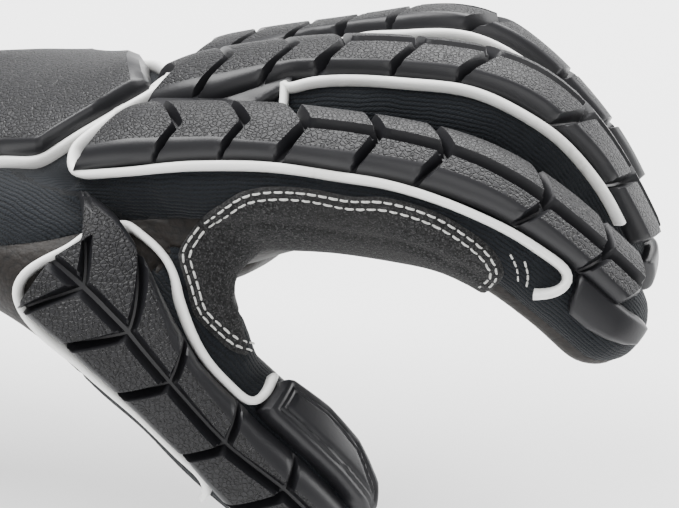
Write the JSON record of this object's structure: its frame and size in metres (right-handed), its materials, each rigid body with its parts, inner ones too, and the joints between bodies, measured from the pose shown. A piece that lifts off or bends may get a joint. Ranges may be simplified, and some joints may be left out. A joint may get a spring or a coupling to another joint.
{
  "type": "anti vibration glove",
  "caption": "Padded work glove for the left hand in its worn, curled shape: knit back, leather palm, ribbed rubber guards with light edge lines, and a felt patch over the thumb web.",
  "frame": {"origin": "middle of the opening that the hand goes in through, at the cuff's edge", "axes": "+X from the cuff toward the fingertips, +Y toward the little finger, +Z out of the back of the hand"},
  "size_m": [0.2395, 0.1287, 0.108],
  "materials": {
    "knit": "fine ribbed stretch knit, black-navy, matte",
    "leather": "brown-black synthetic leather, dull, fine grain",
    "rubber": "charcoal moulded rubber, smooth bevels and finely textured tops",
    "edge_line": "white moulded line, satin",
    "felt": "grey-black speckled felt-like cloth with double rows of light stitches"
  },
  "bodies": {
    "root": {"cuff": "knit", "hand_back": "knit", "index_back": "knit", "middle_back": "knit", "ring_back": "knit", "little_back": "knit", "thumb_back": "knit", "hand_palm": "leather", "index_palm": "leather", "middle_palm": "leather", "ring_palm": "leather", "little_palm": "leather", "thumb_palm": "leather", "cuff_binding": "leather", "palm_pad": "leather", "hand_guard": "rubber", "thumb_guard": "rubber", "back_pad": "rubber", "hand_guard_edge": "edge_line", "index_fork_edge": "edge_line", "middle_fork_edge": "edge_line", "ring_fork_edge": "edge_line", "thumb_guard_edge": "edge_line", "back_pad_edge": "edge_line", "saddle_patch": "felt"}
  },
  "joints": []
}
